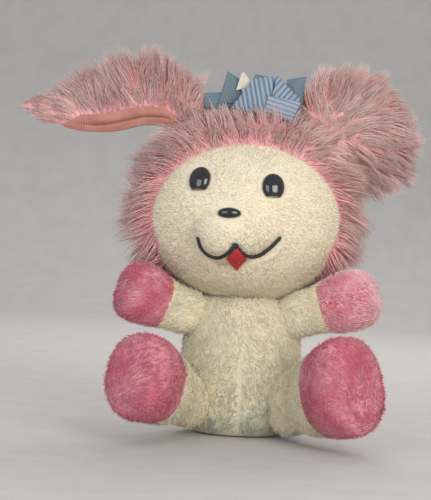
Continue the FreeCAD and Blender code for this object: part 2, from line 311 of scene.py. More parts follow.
def plain_finish(name: str, dark: Colour, light: Colour, roughness: float, grain: float,
                 depth: float) -> bpy.types.Material:
    """A finish of two close colours with a grain.

    Args:
        name: The material's name.
        dark: The colour in the grain's hollows.
        light: The colour on its tops.
        roughness: From 0, glossy, to 1.
        grain: The noise's scale, per metre.
        depth: The grain's depth in millimetres.

    Returns:
        The material.
    """
    shader = Shader(name, roughness)
    noise = shader.spread(shader.noise(grain), 0.3, 0.7)
    shader.bumps(noise, depth)
    return shader.coloured(shader.mixed(noise, dark, light))


CREAM = PileFinish("cream_plush", (0.84, 0.74, 0.52), (0.93, 0.85, 0.63), (0.52, 0.56, 0.44),
                   (0.93, 1.06))
FACE_CREAM = PileFinish("cream_plush", (0.90, 0.80, 0.58), (0.96, 0.89, 0.70),
                        (0.86, 0.78, 0.60), (0.95, 1.04))
# PINK's patch colour is a lighter pink; the limbs also paint it on the lit right paw and foot as painted
# light.
PINK = PileFinish("pink_plush", (0.60, 0.11, 0.17), (0.72, 0.225, 0.285), (0.94, 0.60, 0.62),
                  (0.80, 1.14))
SHAGGY = PileFinish("shaggy_pile", (0.91, 0.42, 0.43), (0.57, 0.42, 0.35), (0.82, 0.61, 0.56),
                    (0.66, 1.28), 0.45)


# ------------------------------------------------------------------ skins and pieces
class Skin:
    """The outer surface of a sewn cover, in layout millimetres."""

    def __init__(self, mesh: bmesh.types.BMesh) -> None:
        """Reads the places, triangles and normals of a surface."""
        self.mesh = mesh
        whole = mesh.copy()
        bmesh.ops.triangulate(whole, faces=whole.faces)
        whole.normal_update()
        whole.verts.index_update()
        self.points = np.array([vert.co for vert in whole.verts])
        self.normals = np.array([vert.normal for vert in whole.verts])
        self.faces = np.array([[vert.index for vert in face.verts] for face in whole.faces])
        whole.free()

    def piece(self, name: str, material: bpy.types.Material, slot: str, follow: Follow,
              thickness: float = 1.5) -> bpy.types.Object:
        """Makes the cover itself, as cloth of a thickness.

        Args:
            name: The piece's name.
            material: Its finish.
            slot: Not used.
            follow: Sets what it moves with.
            thickness: The cloth's thickness in millimetres, inwards.

        Returns:
            The finished piece.
        """
        made = finished(self.mesh, name, material)
        solid = made.modifiers.new("Cloth", "SOLIDIFY")
        solid.thickness = thickness * MM
        solid.offset = -1.0
        follow(made)
        return made


def finished(mesh: bmesh.types.BMesh, name: str, material: bpy.types.Material) -> bpy.types.Object:
    """Turns a mesh in layout millimetres into a smooth piece in the frame.

    Args:
        mesh: The shape.
        name: The piece's name.
        material: Its finish.

    Returns:
        The piece, riding on nothing yet.
    """
    shape = mesh.copy()
    shape.transform(Matrix.Translation(Vector(ORIGIN)) @ Matrix.Scale(MM, 4))
    data = bpy.data.meshes.new(name)
    shape.to_mesh(data)
    shape.free()
    data.polygons.foreach_set("use_smooth", np.ones(len(data.polygons), dtype=bool))
    data.materials.append(material)
    made = bpy.data.objects.new(name, data)
    bpy.context.scene.collection.objects.link(made)
    LOG.info("%s: %d faces", name, len(data.polygons))
    return made


def moved(mesh: bmesh.types.BMesh, change: Field) -> bmesh.types.BMesh:
    """Moves every vertex of a mesh by a function of its place, and returns the mesh."""
    points = change(np.array([vert.co for vert in mesh.verts]))
    for vert, point in zip(mesh.verts, points):
        vert.co = Vector(point)
    mesh.normal_update()
    return mesh


def ball(level: int) -> bmesh.types.BMesh:
    """An evenly meshed sphere of radius 1."""
    mesh = bmesh.new()
    bmesh.ops.create_icosphere(mesh, subdivisions=level, radius=1.0)
    return mesh


def turned(stations: Sequence[tuple[float, float]], rows: int, steps: int) -> bmesh.types.BMesh:
    """A shape turned about Z.

    Args:
        stations: Its outline from one pole to the other, as (radius, height).
        rows: Rows of faces along it.
        steps: Faces round it.

    Returns:
        The closed shape.
    """
    mesh = bmesh.new()
    line = smooth_line(stations, rows + 1)
    verts = [mesh.verts.new((max(radius, 0.0), 0.0, height)) for radius, height in line]
    edges = [mesh.edges.new(pair) for pair in zip(verts, verts[1:])]
    bmesh.ops.spin(mesh, geom=verts + edges, cent=(0, 0, 0), axis=(0, 0, 1), dvec=(0, 0, 0),
                   angle=2 * math.pi, steps=steps, use_merge=True)
    bmesh.ops.remove_doubles(mesh, verts=mesh.verts, dist=1e-3)
    bmesh.ops.recalc_face_normals(mesh, faces=mesh.faces)
    return mesh


def cut(mesh: bmesh.types.BMesh, place: Sequence[float], normal: Sequence[float]) -> tuple[
        bmesh.types.BMesh, bmesh.types.BMesh]:
    """Cuts a mesh in a plane.

    Args:
        mesh: The mesh, which is left as it is.
        place: A point on the plane.
        normal: The plane's normal.

    Returns:
        The part behind the plane and the part in front of it.
    """
    halves = []
    for side in ("clear_outer", "clear_inner"):
        half = mesh.copy()
        bmesh.ops.bisect_plane(half, geom=half.verts[:] + half.edges[:] + half.faces[:],
                               plane_co=place, plane_no=normal, **{side: True})
        halves.append(half)
    return halves[0], halves[1]


# ------------------------------------------------------------------ pile
@dataclass(frozen=True)
class Pile:
    """How the tufts of one pile cloth grow. Lengths in millimetres, density per square one."""

    length: float
    width: float
    density: float
    lift: float
    rings: int = 1
    jitter: float = 0.25
    droop: float = 0.0
    lock_hold: float = 0.0
    lock_size: int = 24
    curl: float = 0.0
    ragged: float = 0.2

    def template(self) -> tuple[np.ndarray, np.ndarray]:
        """One tuft: rows of (ring x, ring y, level) and its triangles."""
        mesh = bmesh.new()
        levels = self.rings + 1
        bmesh.ops.create_cone(mesh, cap_ends=True, segments=3, radius1=1.0, radius2=0.0,
                              depth=float(levels),
                              matrix=Matrix.Translation((0.0, 0.0, levels / 2)))
        for level in range(1, levels):
            bmesh.ops.bisect_plane(mesh, geom=mesh.verts[:] + mesh.edges[:] + mesh.faces[:],
                                   plane_co=(0, 0, level), plane_no=(0, 0, 1))
        bmesh.ops.triangulate(mesh, faces=mesh.faces)
        mesh.verts.index_update()
        rows = np.array([vert.co for vert in mesh.verts])
        faces = np.array([[vert.index for vert in face.verts] for face in mesh.faces])
        mesh.free()
        rows[:, :2] = unit(rows[:, :2]) * (rows[:, 2:] < levels - 0.01)
        return rows, faces

    def roots(self, skin: Skin, share: Field | None, rng: np.random.Generator) -> tuple[
            np.ndarray, np.ndarray]:
        """Picks where tufts grow, evenly over the skin's area.

        Args:
            skin: The surface.
            share: How much of the full density grows at a place, or None for all.
            rng: The seeded source of chance.

        Returns:
            The tufts' roots and the skin's normals there.
        """
        corners = skin.points[skin.faces]
        cross = np.cross(corners[:, 1] - corners[:, 0], corners[:, 2] - corners[:, 0])
        weights = np.linalg.norm(cross, axis=1) / 2
        if share is not None:
            weights = weights * share(corners.mean(axis=1))
        count = int(weights.sum() * self.density)
        picked = rng.choice(len(weights), count, p=weights / weights.sum())
        a, b = rng.random((2, count))
        over = a + b > 1
        a[over], b[over] = 1 - a[over], 1 - b[over]
        mix = np.stack([1 - a - b, a, b], axis=1)[..., None]
        roots = (corners[picked] * mix).sum(axis=1)
        return roots, unit((skin.normals[skin.faces[picked]] * mix).sum(axis=1))

    def paths(self, roots: np.ndarray, normals: np.ndarray, along: np.ndarray, reach: np.ndarray,
              rng: np.random.Generator) -> tuple[np.ndarray, np.ndarray]:
        """Bends each tuft over and gathers neighbours into locks.

        Args:
            roots: Where the tufts grow.
            normals: The skin's normals there.
            along: The way that they are combed.
            reach: Each tuft's share of the full length.
            rng: The seeded source of chance.

        Returns:
            Each tuft's places, level by level, and the number of its lock.
        """
        count, levels = len(roots), self.rings + 2
        lift = np.radians(self.lift) * (1 + 0.3 * rng.normal(size=(count, 1)))
        start = unit(normals * np.sin(lift) + along * np.cos(lift)
                     + self.jitter * rng.normal(size=(count, 3)))
        length = self.length * reach * np.clip(1 + self.ragged * rng.normal(size=count), 0.4, 1.7)
        step = (length / (levels - 1))[:, None]
        path = np.zeros((count, levels, 3))
        path[:, 0] = roots - 0.4 * normals
        for level in range(1, levels):
            share = (level - 0.5) / (levels - 1)
            path[:, level] = path[:, level - 1] + step * unit(start + share * self.droop * DOWN)
        heads = rng.choice(count, max(1, count // self.lock_size), replace=False)
        tree = KDTree(len(heads))
        for index, head in enumerate(heads):
            tree.insert(roots[head], index)
        tree.balance()
        owner = np.array([tree.find(root)[1] for root in roots])
        phase = rng.random(len(heads)) * 2 * math.pi
        side = np.cross(normals, along)
        for level in range(1, levels):
            share = level / (levels - 1)
            pull = self.lock_hold * share**1.2
            path[:, level] += pull * (path[heads[owner], level] - path[:, level])
            wave = self.curl * share * np.sin(phase[owner] + 4.0 * share)
            path[:, level] += wave[:, None] * side
        return path, owner

    def grow(self, name: str, skin: Skin, comb: Field, finish: bpy.types.Material,
             follow: Follow, seed: int, share: Field | None = None, reach: Field | None = None,
             patch: Field | None = None) -> list[bpy.types.Object]:
        """Grows the pile on a skin.

        Args:
            name: The pieces' name, which a number follows.
            skin: The surface that it grows on.
            comb: The way it lies at each place.
            finish: The fibres' material.
            follow: Sets what the pieces move with.
            seed: Picks the pattern.
            share: The share of the full density at each place.
            reach: The share of the full length at each place.
            patch: How far each place turns to the patch colour, from 0 to 1: random patches, and on the
                pink paws and feet also painted light.

        Returns:
            The pieces, split so that each holds at most about MOST_TRIANGLES triangles.
        """
        rng = np.random.default_rng(seed)
        roots, normals = self.roots(skin, share, rng)
        along = comb(roots)
        along = unit(along - normals * (along * normals).sum(axis=1, keepdims=True))
        lengths = reach(roots) if reach else np.ones(len(roots))
        path, lock = self.paths(roots, normals, along, lengths, rng)
        rows, faces = self.template()
        tangent = unit(np.gradient(path, axis=1))
        side = unit(np.cross(tangent, normals[:, None, :]))
        rise = np.cross(side, tangent)
        level = rows[:, 2].round().astype(int)
        thick = 0.5 * self.width * (1 - (level / (self.rings + 1)) ** 2)[None, :, None]
        spots = path[:, level] + thick * (rows[:, 0][None, :, None] * side[:, level]
                                          + rows[:, 1][None, :, None] * rise[:, level])
        lock_tone = rng.random(lock.max() + 1)[lock]
        tone = np.ones((len(roots), len(rows), 4))
        tone[..., 0] = (level / (self.rings + 1))[None, :]
        tone[..., 1] = (0.55 * rng.random(len(roots)) + 0.45 * lock_tone)[:, None]
        tone[..., 2] = (patch(roots) if patch else np.zeros(len(roots)))[:, None]
        order = np.argsort(roots[:, 0])
        parts = max(1, math.ceil(len(order) * len(faces) / MOST_TRIANGLES))
        made = []
        for number, some in enumerate(np.array_split(order, parts), 1):
            piece = fibres(f"{name}_{number}", placed(spots[some]), faces, tone[some], finish)
            follow(piece)
            made.append(piece)
        return made


def fibres(name: str, spots: np.ndarray, faces: np.ndarray, tone: np.ndarray,
           material: bpy.types.Material) -> bpy.types.Object:
    """Makes one piece of many tufts.

    Args:
        name: The piece's name.
        spots: The vertices of each tuft, in metres.
        faces: The triangles of one tuft.
        tone: The tone of each vertex.
        material: The piece's finish.

    Returns:
        The piece.
    """
    count, each = spots.shape[:2]
    corners = (faces[None] + (np.arange(count) * each)[:, None, None]).reshape(-1)
    data = bpy.data.meshes.new(name)
    data.vertices.add(count * each)
    data.vertices.foreach_set("co", spots.reshape(-1).astype(np.float32))
    data.loops.add(len(corners))
    data.loops.foreach_set("vertex_index", corners.astype(np.int32))
    data.polygons.add(len(corners) // 3)
    data.polygons.foreach_set("loop_start", np.arange(0, len(corners), 3, dtype=np.int32))
    data.update(calc_edges=True)
    data.polygons.foreach_set("use_smooth", np.ones(len(corners) // 3, dtype=bool))
    layer = data.color_attributes.new(name="tone", type="FLOAT_COLOR", domain="POINT")
    layer.data.foreach_set("color", tone.reshape(-1).astype(np.float32))
    data.materials.append(material)
    made = bpy.data.objects.new(name, data)
    bpy.context.scene.collection.objects.link(made)
    LOG.info("%s: %d tufts, %d triangles", name, count, len(corners) // 3)
    return made


class Side(Enum):
    """The toy's two sides, as seen from its front."""

    LEFT = "left"
    RIGHT = "right"


SHORT = Pile(length=4.0, width=0.56, density=0.78, lift=23.0, jitter=0.13, lock_hold=0.15,
             lock_size=16, ragged=0.3)
FACE_PILE = Pile(length=3.0, width=0.50, density=1.05, lift=22.0, jitter=0.16, lock_hold=0.15,
                 lock_size=12, ragged=0.25)
LONG = Pile(length=25.0, width=0.68, density=0.42, lift=40.0, rings=3, jitter=0.14, droop=0.55,
            lock_hold=0.62, lock_size=30, curl=1.6, ragged=0.22)


# ------------------------------------------------------------------ torso
@dataclass
class Torso:
    """The pear-shaped body with a seam down the belly, its neck and its tail."""

    x: float = 3.0
    flatten: float = 0.79
    outline: tuple[tuple[float, float], ...] = (
        (0.0, 0.4), (22.0, 0.4), (33.0, 1.6), (40.5, 8.0), (45.0, 24.0), (46.0, 44.0),
        (44.5, 62.0), (42.5, 79.0), (38.5, 92.0), (29.0, 100.5), (14.0, 104.0), (0.0, 104.5))
    tail: tuple[float, float, float] = (3.0, 49.0, 24.0)
    tail_radius: float = 12.0

    def shape(self, points: np.ndarray) -> np.ndarray:
        """Flattens the turned pear, sinks the belly seam and lets the stuffing bulge a little."""
        out = points * np.array([1.0, self.flatten, 1.0])
        lumps = swirl(points, 34.0, 3)[:, :1] * ramp(points[:, 2:], 3.0, 20.0)
        out = out + unit(points * np.array([1.0, 1.0, 0.0])) * lumps * 1.0
        seam = np.exp(-(points[:, 0] / 1.8) ** 2) * ramp(points[:, 2], 4.0, 14.0)
        out[:, 1] += np.sign(-points[:, 1]) * seam * 0.9
        return out + np.array([self.x, 0.0, 0.0])

    def comb(self, points: np.ndarray) -> np.ndarray:
        """Down the body, parted at the belly seam, with brushed swirls."""
        side = points[:, :1] - self.x
        parted = np.sign(side) * np.exp(-np.abs(side) / 9.0)
        lean = swirl(points, 30.0, 5) * np.array([0.6, 0.3, 0.35])
        return DOWN + np.hstack([parted * 0.7, np.zeros((len(points), 2))]) + lean

    def build(self) -> None:
        """Makes the cover, its pile, the neck and the tail."""
        skin = Skin(moved(turned(self.outline, 110, 180), self.shape))
        follow = riding("torso")
        cover = skin.piece("torso_cover", CREAM.cloth(), CREAM.slot, follow)
        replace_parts(cover, *[f"torso_{face}_{side}_panel" for face in ("front", "back")
                             for side in ("left", "right")], "torso_base_panel", "torso_stuffing")

        def patch(points: np.ndarray) -> np.ndarray:
            """Greyer, greener pile towards the bottom of the belly, with random patches over it."""
            low = 0.62 * (1 - ramp(points[:, 2], 10.0, 58.0))
            return np.clip(low + 0.14 + 0.24 * swirl(points, 17.0, 8)[:, 0], 0.0, 1.0)

        SHORT.grow("torso_pile", skin, self.comb, CREAM.tufts(), follow, 11,
                   share=lambda points: ramp(points[:, 2], 5.0, 7.0), patch=patch)
        neck = Skin(moved(ball(5), lambda points: points * 12.5 + NECK))
        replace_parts(padded(neck.piece("neck_cover", CREAM.cloth(), CREAM.slot, riding("neck"))),
                    "neck_stuffing")
        tail = Skin(moved(ball(5), lambda points: points * self.tail_radius + np.array(self.tail)))
        tail_cover = tail.piece("tail_skin", SHAGGY.cloth(), SHAGGY.slot, follow)
        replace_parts(padded(tail_cover), "tail_cover", "tail_stuffing")
        centre = np.array(self.tail)
        tuft = Pile(length=14.0, width=0.6, density=0.85, lift=50.0, rings=2, droop=0.4,
                    lock_hold=0.5, lock_size=20, curl=0.8)
        tuft.grow("tail_pile", tail, lambda points: (points - centre) + np.array([0, 3.0, -6.0]),
                  SHAGGY.tufts(), follow, 12)


def padded(piece: bpy.types.Object) -> bpy.types.Object:
    """Returns a stuffed piece unchanged."""
    return piece


# ------------------------------------------------------------------ head
@dataclass
class Head:
    """The round head: a cream face sewn into a shaggy hood, with a soft muzzle."""

    centre: tuple[float, float, float] = (1.0, 0.0, 165.5)
    radii: tuple[float, float, float] = (74.0, 59.0, 64.0)
    muzzle: tuple[float, float, float] = (-9.5, -46.0, 151.0)
    muzzle_radii: tuple[float, float, float] = (27.0, 23.0, 22.0)
    soft: float = 7.0
    seam_y: float = -22.0
    seam_tilt: float = 0.25
    chin_tilt: float = 0.75
    chin: float = 103.6
    puff: float = 6.5
    mouth: tuple[tuple[float, float], ...] = (
        (-33.1, 146.5), (-30.8, 140.3), (-25.6, 135.2), (-18.0, 133.3), (-11.2, 137.2),
        (-5.8, 144.0), (-1.2, 138.4), (4.2, 135.4), (10.8, 136.0), (18.4, 141.4), (26.0, 149.6))
    holes: tuple[tuple[float, float, float], ...] = (
        (-34.0, 189.0, 8.2), (19.4, 186.7, 8.2), (-11.4, 166.0, 6.5))
    mouth_line: np.ndarray = field(init=False)

    def __post_init__(self) -> None:
        """Draws the mouth's smooth line."""
        left = smooth_line(self.mouth[:6], 40)
        self.mouth_line = np.vstack([left, smooth_line(self.mouth[5:], 40)[1:]])

    def front(self, x: np.ndarray, z: np.ndarray) -> np.ndarray:
        """The depth of the head's front, with the muzzle blended in.

        Args:
            x: Places across.
            z: Places up.

        Returns:
            The Y of the surface at each place.
        """
        found = []
        for centre, radii in ((self.centre, self.radii), (self.muzzle, self.muzzle_radii)):
            rest = 1 - ((x - centre[0]) / radii[0]) ** 2 - ((z - centre[2]) / radii[2]) ** 2
            bulge = np.where(rest > 0.04, np.sqrt(np.maximum(rest, 0.04)), 0.2 + 2.5 * (rest - 0.04))
            found.append(centre[1] - radii[1] * bulge)
        share = np.clip(0.5 + 0.5 * (found[0] - found[1]) / self.soft, 0.0, 1.0)
        return found[0] * (1 - share) + found[1] * share - self.soft * share * (1 - share)

    def dents(self, x: np.ndarray, z: np.ndarray) -> np.ndarray:
        """How far the cloth is pulled in along the mouth and round the eyes and nose."""
        gaps = np.hypot(x[:, None] - self.mouth_line[:, 0], z[:, None] - self.mouth_line[:, 1])
        pull = 1.6 * np.exp(-(gaps.min(axis=1) / 3.2) ** 2)
        for hole_x, hole_z, radius in self.holes:
            away = np.hypot(x - hole_x, z - hole_z)
            pull += 1.3 * np.exp(-((away - radius * 0.3) / radius) ** 2)
        return pull

    def shape(self, points: np.ndarray) -> np.ndarray:
        """Maps a unit sphere to the head."""
        out = points * np.array(self.radii) + np.array(self.centre)
        ahead = ramp(-points[:, 1], 0.22, 0.45)
        shown = self.front(out[:, 0], out[:, 2]) + self.dents(out[:, 0], out[:, 2])
        out[:, 1] += ahead * (shown - out[:, 1])
        out += points * swirl(out, 40.0, 21)[:, :1] * 0.8
        behind = ramp(points[:, 1] * self.radii[1] + self.seam_tilt * np.maximum(
            out[:, 2] - self.centre[2], 0.0), self.seam_y, self.seam_y + 15.0)
        high = ramp(out[:, 2], 175.0, 215.0)
        out += points * (behind * (2.0 + self.puff * high))[:, None]
        flat = self.chin + 0.25 * np.maximum(out[:, 2] - self.chin, -8.0)
        out[:, 2] = np.where(out[:, 2] < self.chin, flat, out[:, 2])
        return out

    def sheared(self, sign: float) -> Field:
        """Tilts the top and the chin so that the face seam lies in one plane, or back."""
        def change(points: np.ndarray) -> np.ndarray:
            """Moves the top and the chin along Y."""
            out = points.copy()
            rise = points[:, 2] - self.centre[2]
            out[:, 1] += sign * self.seam_tilt * np.maximum(rise, 0.0)
            out[:, 1] -= sign * self.chin_tilt * np.maximum(-rise - 25.0, 0.0)
            return out
        return change

    def face_comb(self, points: np.ndarray) -> np.ndarray:
        """Away from the nose and down."""
        away = unit(points - np.array([-10.0, -60.0, 170.0]))
        return away + 0.5 * DOWN + 0.35 * swirl(points, 24.0, 23)

    def hood_comb(self, points: np.ndarray) -> np.ndarray:
        """Away from the face, backwards and a little down."""
        away = unit((points - np.array(self.centre)) * np.array([1.0, 0.0, 1.0]))
        back = np.array([0.0, 0.35, 0.0])
        return away + back + 0.12 * DOWN + 0.35 * swirl(points, 30.0, 25)

    def hood_reach(self, points: np.ndarray) -> np.ndarray:
        """Shorter on the forehead, under the chin and behind, where the pile is rubbed down."""
        top = 1 - 0.12 * ramp(points[:, 2], 205.0, 228.0)
        under = 0.45 + 0.55 * ramp(points[:, 2], 108.0, 128.0)
        seam = 0.6 + 0.4 * ramp(points[:, 1], -38.0, -12.0)
        behind = 1 - 0.5 * ramp(points[:, 1], 12.0, 46.0)
        return top * under * seam * behind

    def build(self) -> None:
        """Makes the face, the hood and their pile."""
        whole = moved(moved(ball(7), self.shape), self.sheared(1.0))
        front, back = cut(whole, (0, self.seam_y, 0), (0, 1, 0))
        follow = riding("head")
        face, hood = (Skin(moved(half, self.sheared(-1.0))) for half in (front, back))
        cover = padded(face.piece("face_cover", FACE_CREAM.cloth(), CREAM.slot, follow))
        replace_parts(cover, "face_panel", "head_stuffing")
        cap = padded(hood.piece("hood_cover", SHAGGY.cloth(), SHAGGY.slot, follow))
        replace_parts(cap, "hood_left_panel", "hood_right_panel")

        def bare(points: np.ndarray) -> np.ndarray:
            """No pile under the eyes, the nose and the mouth's thread."""
            left = np.ones(len(points))
            for x, z, radius in self.holes:
                across = 0.95 if radius > 7 else 1.15
                tall = 1.1 if radius > 7 else 0.6
                away = np.hypot((points[:, 0] - x) / across, (points[:, 2] - z) / tall)
                left *= away > radius
            gaps = np.hypot(points[:, :1] - self.mouth_line[:, 0],
                            points[:, 2:] - self.mouth_line[:, 1])
            return left * (gaps.min(axis=1) > 0.8)

        def short(points: np.ndarray) -> np.ndarray:
            """Shorter tufts beside the features, so that they stay clear."""
            near = np.full(len(points), 99.0)
            for x, z, radius in self.holes:
                near = np.minimum(near, np.hypot(points[:, 0] - x, points[:, 2] - z) - radius)
            gaps = np.hypot(points[:, :1] - self.mouth_line[:, 0],
                            points[:, 2:] - self.mouth_line[:, 1])
            return 0.4 + 0.6 * ramp(np.minimum(near, gaps.min(axis=1)), 0.5, 5.0)

        FACE_PILE.grow("face_pile", face, self.face_comb, FACE_CREAM.tufts(), follow,
                       31, share=bare, reach=short,
                       patch=lambda p: np.clip(0.2 + 0.5 * swirl(p, 16.0, 33)[:, 0], 0.0, 1.0))
        LONG.grow("hood_pile", hood, self.hood_comb, SHAGGY.tufts(), follow, 32,
                  share=lambda p: np.maximum(ramp(p[:, 2], 114.0, 124.0), ramp(p[:, 1], 0.0, 14.0)),
                  reach=self.hood_reach,
                  patch=lambda p: np.clip(0.15 + 0.5 * swirl(p, 20.0, 34)[:, 0], 0.0, 1.0))


@dataclass
class Features:
    """The eyes, nose, stitched mouth and felt tongue."""

    head: Head
    thread: float = 1.35
    stitch: float = 4.6
    pitch: float = 1.5
    tongue: tuple[float, float] = (-4.4, 132.8)
    tongue_size: tuple[float, float] = (13.0, 17.5)
    nodes: tuple[str, ...] = ("eye_left", "eye_right", "nose")
    washers: tuple[str, ...] = ("eye_left_washer", "eye_right_washer", "nose_washer")

    def plastic(self) -> None:
        """Gives the plastic nodes their finishes."""
        gloss = plain_finish("black_plastic", (0.004, 0.004, 0.005), (0.012, 0.012, 0.014), 0.1,
                             260.0, 0.01)
        gloss.node_tree.nodes["Principled BSDF"].inputs["Coat Weight"].default_value = 0.6
        dull = plain_finish("washer_plastic", (0.5, 0.5, 0.48), (0.6, 0.6, 0.58), 0.5, 500.0, 0.02)
        for names, material, slot in ((self.nodes, gloss, "black_plastic"),
                                      (self.washers, dull, "washer_plastic")):
            for name in names:
                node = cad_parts[name]
                node.data.materials.clear()
                node.data.materials.append(material)

    def mouth(self) -> None:
        """Lays short overlapping stitches of thick thread along the mouth."""
        mesh = bmesh.new()
        line = self.head.mouth_line
        places = np.concatenate([[0.0], np.cumsum(np.linalg.norm(np.diff(line, axis=0), axis=1))])
        wanted = np.arange(self.pitch / 2, places[-1], self.pitch)
        x, z = (np.interp(wanted, places, line[:, axis]) for axis in (0, 1))
        y = self.head.front(x, z) + self.head.dents(x, z) - 1.9
        points = np.stack([x, y, z], axis=1)
        headings = unit(np.gradient(points, axis=0))
        rng = np.random.default_rng(41)
        for number, (point, heading) in enumerate(zip(points, headings)):
            lean = unit(heading + (0.30 if number % 2 else -0.22) * np.cross(heading, FRONT)
                        + 0.05 * rng.normal(size=3))
            turn = Vector((0, 0, 1)).rotation_difference(Vector(lean)).to_matrix().to_4x4()
            size = Matrix.Diagonal((self.thread, self.thread, self.stitch / 2, 1.0))
            bmesh.ops.create_uvsphere(mesh, u_segments=10, v_segments=10, radius=1.0,
                                      matrix=Matrix.Translation(Vector(point)) @ turn @ size)
        thread = plain_finish("black_thread", (0.004, 0.004, 0.005), (0.03, 0.03, 0.034), 0.6,
                              1500.0, 0.15)
        made = finished(mesh, "mouth_thread", thread)
        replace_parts(made, "mouth_stitching")
        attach(made, "head")

    def felt(self) -> None:
        """Makes the tongue: a felt diamond that follows the muzzle, its tip drawn to a point."""
        mesh = bmesh.new()
        bmesh.ops.create_grid(mesh, x_segments=24, y_segments=24, size=1.0, calc_uvs=True)
        width, height = self.tongue_size

        def change(points: np.ndarray) -> np.ndarray:
            """Turns the square into a rounded diamond on the face."""
            u, v = points[:, 0], points[:, 1]
            across = (u - v) / 2
            rise = (u + v) / 2
            full = 1 + 0.16 * (1 - rise**2)
            x = self.tongue[0] + across * width / 2 * full + 1.6 * np.maximum(-rise - 0.4, 0) ** 1.5
            z = self.tongue[1] + rise * height / 2
            y = self.head.front(x, z) + self.head.dents(x, z) * 0.5
            return np.stack([x, y - 2.4 - 0.8 * np.cos(across * 1.5), z], axis=1)

        moved(mesh, change)
        felt = plain_finish("red_felt", (0.36, 0.012, 0.014), (0.66, 0.035, 0.03), 0.75, 1300.0,
                            0.35)
        made = finished(mesh, "tongue_felt", felt)
        solid = made.modifiers.new("Felt", "SOLIDIFY")
        solid.thickness = 1.1 * MM
        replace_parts(made, "tongue")
        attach(made, "head")
        area = sum(face.calc_area() for face in mesh.faces) * MM * MM

    def build(self) -> None:
        """Makes them all."""
        self.plastic()
        self.mouth()
        self.felt()


# ------------------------------------------------------------------ limbs
@dataclass
class Limb:
    """A turned limb set along a line, its end in pink plush and its root in cream."""

    name: str
    body: str
    root: tuple[float, float, float]
    towards: tuple[float, float, float]
    outline: tuple[tuple[float, float], ...]
    seam: float
    widths: tuple[float, float]
    covers: tuple[str, str]
    nodes: tuple[tuple[str, ...], tuple[str, ...]]
    # Share of the patch colour laid over the pink end: painted light, lighter on the lit right paw and
    # foot.
    patch_and_painted_light: float
    seed: int
    square: float = 0.0

    def axes(self) -> np.ndarray:
        """The limb's side, up and forward directions, as rows."""
        forward = unit(np.array(self.towards) - np.array(self.root))
        side = unit(np.cross(UP, forward))
        return np.stack([side, np.cross(forward, side), forward])

    def shape(self, points: np.ndarray) -> np.ndarray:
        """Sets the turned limb in its place, a little squared and lumpy."""
        out = points * np.array([self.widths[0], self.widths[1], 1.0])
        corner = np.abs(unit(points[:, :2]))
        boost = 1 + self.square * (4 * corner[:, 0] * corner[:, 1] ** 1) * 0.25
        out[:, :2] *= boost[:, None]
        lumps = swirl(points + 50.0 * self.seed, 22.0, self.seed)[:, :1]
        out += unit(points * np.array([1.0, 1.0, 0.2])) * lumps * 0.8
        return out @ self.axes() + np.array(self.root)

    def along(self, distance: float) -> Vector:
        """The place at a distance along the limb, in the frame."""
        return at(*(np.array(self.root) + self.axes()[2] * distance))

    def comb(self, points: np.ndarray) -> np.ndarray:
        """Towards the limb's end, hanging a little, with brushed swirls."""
        return self.axes()[2] + 0.45 * DOWN + 0.25 * swirl(points, 34.0, self.seed + 2)

    def build(self) -> None:
        """Makes the two covers and their pile."""
        root, end = cut(turned(self.outline, 70, 96), (0, 0, self.seam), (0, 0, 1))
        joined = bending()
        for part, finish, follow, cover, nodes, shift in (
                (root, CREAM, joined, self.covers[0], self.nodes[0], 0),
                (end, PINK, riding(self.body), self.covers[1], self.nodes[1], 4)):
            skin = Skin(moved(part, self.shape))
            made = skin.piece(cover, finish.cloth(), finish.slot, follow)
            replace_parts(padded(made), *nodes)
            # On the pink end this base share is painted light; on the cream root it is a fixed share of
            # greyer patches.
            patch_and_painted_light = self.patch_and_painted_light if finish is PINK else 0.08

            def patch(points: np.ndarray) -> np.ndarray:
                """Random faded or greyed patches over a base share, which on the pink end is painted light.
                """
                return np.clip(patch_and_painted_light + 0.30 * swirl(points, 15.0, self.seed + 5)[:, 0], 0.0, 1.0)

            SHORT.grow(f"{cover}_pile", skin, self.comb, finish.tufts(), follow,
                       self.seed + shift, patch=patch)


def arm(side: Side, shoulder: tuple[float, float, float], paw: tuple[float, float, float],
        length: float, patch_and_painted_light: float, seed: int) -> Limb:
    """An arm, stuffed fuller towards its paw.

    Args:
        side: Left or right.
        shoulder: Where it leaves the torso.
        paw: The place that it points at.
        length: From the shoulder to its end.
        patch_and_painted_light: How much lighter pink is painted on the paw; this is painted light, highest
            on the lit right paw.
        seed: Picks its lumps and pile.

    Returns:
        The limb.
    """
    scale = length / 51.0
    outline = ((0.0, -20.0), (10.0, -18.0), (14.5, -9.0), (15.8, 1.0), (16.2, 9.0), (17.4, 16.0),
               (19.6, 25.0), (20.4, 34.0), (18.4, 43.0), (11.5, 49.3), (0.0, 51.0))
    name = f"arm_{side.value}"
    return Limb(name, name, shoulder, paw,
                tuple((radius, height * scale) for radius, height in outline), 15.5 * scale,
                (0.90, 1.0), (f"{name}_sleeve_cover", f"{name}_paw_cover"),
                ((f"{name}_sleeve",), (f"{name}_paw", f"{name}_stuffing")), patch_and_painted_light, seed, 0.35)


